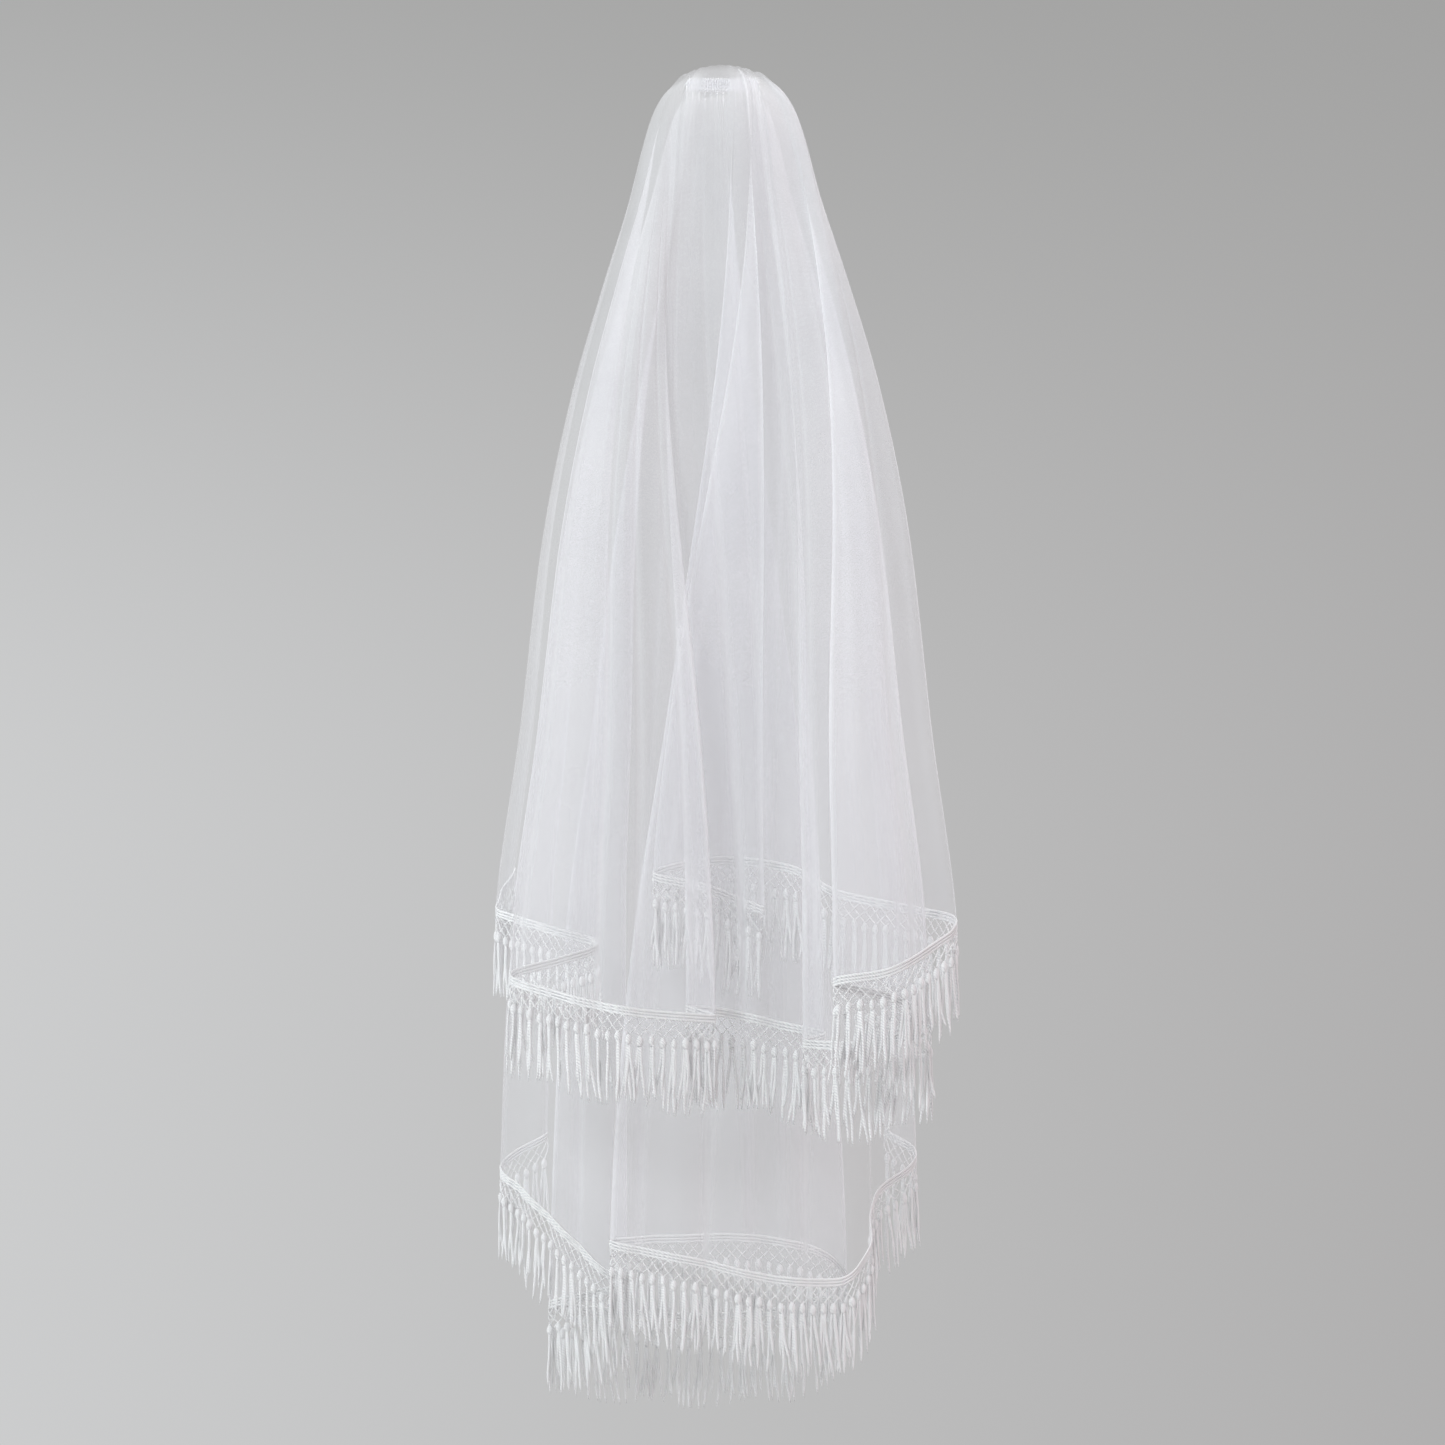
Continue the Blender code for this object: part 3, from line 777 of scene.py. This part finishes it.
def make_stitches(material):
    """Three rows of running stitches that hold the gathers in the heading."""
    shape = Shape()
    share = np.linspace(0, 1, 5)
    up = np.tile((0.0, 0.0, 1.0), (len(share), 1))
    front = np.tile((0.0, 1.0, 0.0), (len(share), 1))
    radius = np.interp(share, *STITCH_RADII) * MM
    back = BINDING_BACK - STITCH_SINK + STITCH_BOW * np.sin(math.pi * share)
    count = int(BINDING_WIDTH // STITCH_PITCH) - 1
    for row, height in enumerate(STITCH_HEIGHTS):
        for number in range(count):
            middle = (number - (count - 1) / 2) * STITCH_PITCH + 0.5 * math.sin(row + number)
            across = middle + STITCH_LENGTH * (share - 0.5)
            high = height + 0.12 * np.sin(number + share)
            path = np.stack([across, -back, high], axis=1) * MM
            shape.tube(round_rings(path, up, front, radius, radius, sides=6))
    stitches = add_mesh("heading_stitches", np.concatenate(shape.points), shape.faces, material)


def new_material(name):
    material = bpy.data.materials.new(name)
    material.use_nodes = True
    tree = material.node_tree
    return material, tree, tree.nodes["Principled BSDF"]


def add_node(tree, kind, **settings):
    node = tree.nodes.new(kind)
    for name, value in settings.items():
        setattr(node, name, value)
    return node


def scaled(tree, source, factor, plus):
    """source times factor plus a constant, kept from 0 to 1."""
    node = add_node(tree, "ShaderNodeMath", operation="MULTIPLY_ADD", use_clamp=True)
    tree.links.new(source, node.inputs[0])
    node.inputs[1].default_value = factor
    node.inputs[2].default_value = plus
    return node.outputs[0]


def combined(tree, one, other, operation="MULTIPLY"):
    node = add_node(tree, "ShaderNodeMath", operation=operation, use_clamp=True)
    tree.links.new(one, node.inputs[0])
    tree.links.new(other, node.inputs[1])
    return node.outputs[0]


def two_tones(tree, source, dim, bright, start=0.0, end=1.0):
    """A colour that goes from dim, where source is start, to bright, where it is end."""
    tones = add_node(tree, "ShaderNodeValToRGB")
    first, last = tones.color_ramp.elements
    first.position = start
    first.color = (*dim, 1)
    last.position = end
    last.color = (*bright, 1)
    tree.links.new(source, tones.inputs["Fac"])
    return tones.outputs["Color"]


def add_bump(tree, shader, height, strength, distance):
    bump = add_node(tree, "ShaderNodeBump")
    bump.inputs["Strength"].default_value = strength
    bump.inputs["Distance"].default_value = distance
    tree.links.new(height, bump.inputs["Height"])
    tree.links.new(bump.outputs["Normal"], shader.inputs["Normal"])


def noise(tree, space, scale, detail=2.0):
    texture = add_node(tree, "ShaderNodeTexNoise")
    texture.inputs["Scale"].default_value = scale
    texture.inputs["Detail"].default_value = detail
    tree.links.new(space, texture.inputs["Vector"])
    return texture.outputs["Fac"]


def tulle_material():
    """Sheer net: fine threads over clear holes, denser where the cloth turns at a fold's edge."""
    material, tree, shader = new_material("sheer_tulle")
    space = add_node(tree, "ShaderNodeTexCoord").outputs["Object"]
    line = add_node(tree, "ShaderNodeAttribute", attribute_name="fold_line")
    cover = add_node(tree, "ShaderNodeAttribute", attribute_name="cover")
    cells = add_node(tree, "ShaderNodeTexVoronoi", feature="DISTANCE_TO_EDGE")
    cells.inputs["Scale"].default_value = NET_SCALE
    cells.inputs["Randomness"].default_value = 0.85
    tree.links.new(space, cells.inputs["Vector"])
    net = scaled(tree, cells.outputs["Distance"], factor=-9.0, plus=1.35)

    clouds = noise(tree, space, CLOUD_SCALE, detail=3.0)
    uneven = scaled(tree, clouds, factor=CLOTH_UNEVENNESS, plus=1 - CLOTH_UNEVENNESS * 0.75)
    veils = combined(tree, cover.outputs["Fac"], uneven)
    dense = scaled(tree, line.outputs["Fac"], factor=FOLD_LINE_OPACITY, plus=0.0)
    body = combined(tree, veils, dense, "ADD")
    grain = scaled(tree, net, factor=0.3, plus=0.85)
    tree.links.new(combined(tree, body, grain), shader.inputs["Alpha"])

    tint = two_tones(tree, noise(tree, space, TINT_SCALE), TULLE_DIM, TULLE_BRIGHT, start=0.3, end=0.7)
    tree.links.new(tint, shader.inputs["Base Color"])
    add_bump(tree, shader, net, strength=0.1, distance=0.0002)
    shader.inputs["Roughness"].default_value = 0.75
    shader.inputs["Specular IOR Level"].default_value = 0.3
    shader.inputs["Sheen Weight"].default_value = 0.6
    shader.inputs["Sheen Roughness"].default_value = 0.5
    return material


def thread_material(name, bright, dim, twist_scale):
    """Soft white twisted thread. Its dim tone is painted shade in the twist's grooves, with a random fuzz
    tone mixed in; on the heading cloth it is painted shade between the pleats.
    """
    material, tree, shader = new_material(name)
    space = add_node(tree, "ShaderNodeTexCoord").outputs["Object"]
    wave = add_node(tree, "ShaderNodeTexWave", wave_type="BANDS", bands_direction="DIAGONAL")
    wave.inputs["Scale"].default_value = twist_scale
    wave.inputs["Distortion"].default_value = 3.0
    wave.inputs["Detail"].default_value = 2.0
    tree.links.new(space, wave.inputs["Vector"])
    twist = scaled(tree, wave.outputs["Fac"], factor=0.6, plus=0.0)
    fuzz = scaled(tree, noise(tree, space, FUZZ_SCALE, detail=3.0), factor=0.4, plus=0.0)
    mixed = combined(tree, twist, fuzz, "ADD")
    # The dim tone is painted shade: in the twist's grooves, and between the heading's pleats.
    tones = two_tones(tree, mixed, dim, bright, start=0.15, end=0.6)
    tree.links.new(tones, shader.inputs["Base Color"])
    add_bump(tree, shader, mixed, strength=0.45, distance=0.0004)
    shader.inputs["Roughness"].default_value = 0.7
    shader.inputs["Sheen Weight"].default_value = 0.3
    shader.inputs["Sheen Roughness"].default_value = 0.4
    return material


def comb_material():
    """Pale satin metal with a fine brushed grain along the bar."""
    material, tree, shader = new_material("satin_comb")
    space = add_node(tree, "ShaderNodeTexCoord").outputs["Object"]
    stretch = add_node(tree, "ShaderNodeMapping")
    stretch.inputs["Scale"].default_value = (40, 900, 900)
    tree.links.new(space, stretch.inputs["Vector"])
    grain = noise(tree, stretch.outputs["Vector"], scale=1.0, detail=3.0)
    tree.links.new(scaled(tree, grain, factor=0.25, plus=0.22), shader.inputs["Roughness"])
    tree.links.new(two_tones(tree, grain, COMB_DIM, COMB_BRIGHT), shader.inputs["Base Color"])
    shader.inputs["Metallic"].default_value = 0.9
    return material


def make_floor():
    place = (0, 0, FLOOR_HEIGHT)
    bpy.ops.mesh.primitive_circle_add(vertices=96, radius=FLOOR_RADIUS, fill_type="NGON", location=place)
    floor = bpy.context.object
    floor.name = "floor"
    material, tree, shader = new_material("pale_floor")
    space = add_node(tree, "ShaderNodeTexCoord").outputs["Object"]
    tint = two_tones(tree, noise(tree, space, FLOOR_SCALE), FLOOR_DIM, FLOOR_BRIGHT)
    tree.links.new(tint, shader.inputs["Base Color"])
    shader.inputs["Roughness"].default_value = 0.9
    floor.data.materials.append(material)


def make_surround():
    """A soft grey surround, paler to the left and darker above."""
    world = bpy.data.worlds.new("studio")
    bpy.context.scene.world = world
    world.use_nodes = True
    tree = world.node_tree
    back = tree.nodes["Background"]
    direction = add_node(tree, "ShaderNodeTexCoord").outputs["Generated"]
    split = add_node(tree, "ShaderNodeSeparateXYZ")
    tree.links.new(direction, split.inputs[0])
    sideways = scaled(tree, split.outputs["X"], factor=1.0, plus=0.5)
    low = two_tones(tree, sideways, SURROUND_LEFT, SURROUND_RIGHT, start=0.25, end=0.75)
    height = add_node(tree, "ShaderNodeMapRange", interpolation_type="SMOOTHSTEP")
    height.inputs["From Min"].default_value = SURROUND_TOP_HEIGHTS[0]
    height.inputs["From Max"].default_value = SURROUND_TOP_HEIGHTS[1]
    tree.links.new(split.outputs["Z"], height.inputs["Value"])
    tones = add_node(tree, "ShaderNodeMix", data_type="RGBA")
    tree.links.new(height.outputs["Result"], tones.inputs["Factor"])
    tree.links.new(low, tones.inputs["A"])
    tones.inputs["B"].default_value = (*SURROUND_TOP, 1)
    tree.links.new(tones.outputs["Result"], back.inputs["Color"])
    back.inputs["Strength"].default_value = 1.0


def make_light(name, place, target, size, power, colour):
    data = bpy.data.lights.new(name, "AREA")
    data.shape = "DISK"
    data.size = size
    data.energy = power
    data.color = colour
    light = bpy.data.objects.new(name, data)
    bpy.context.scene.collection.objects.link(light)
    aim_at(light, place, target)


def aim_at(thing, place, target):
    direction = Vector(target) - Vector(place)
    thing.location = place
    thing.rotation_euler = direction.to_track_quat("-Z", "Y").to_euler()


def make_camera():
    data = bpy.data.cameras.new("camera")
    data.lens = CAMERA_LENS
    data.sensor_width = CAMERA_SENSOR
    camera = bpy.data.objects.new("camera", data)
    bpy.context.scene.collection.objects.link(camera)
    aim_at(camera, CAMERA_PLACE, CAMERA_TARGET)
    bpy.context.scene.camera = camera


def main():
    tulle = tulle_material()
    thread = thread_material("fringe_thread", THREAD_BRIGHT, THREAD_GROOVE_SHADE, THREAD_SCALE)
    # The heading cloth's darker bands are painted shade for its pleats.
    heading_cloth = thread_material("heading_cloth", HEADING_BRIGHT, HEADING_PLEAT_SHADE, HEADING_SCALE)
    make_comb(comb_material())
    heading = make_heading(heading_cloth)
    make_stitches(thread)
    for tier in (UPPER, LOWER):
        points, cover, lines = fine_cloth(tier)
        cloth = make_tier(tier, points, cover, lines, tulle)
        trim = make_trim(tier, points, thread)
    make_floor()
    make_surround()
    for light in LIGHTS:
        make_light(*light)
    make_camera()
    bpy.context.scene.view_settings.view_transform = "Standard"


main()
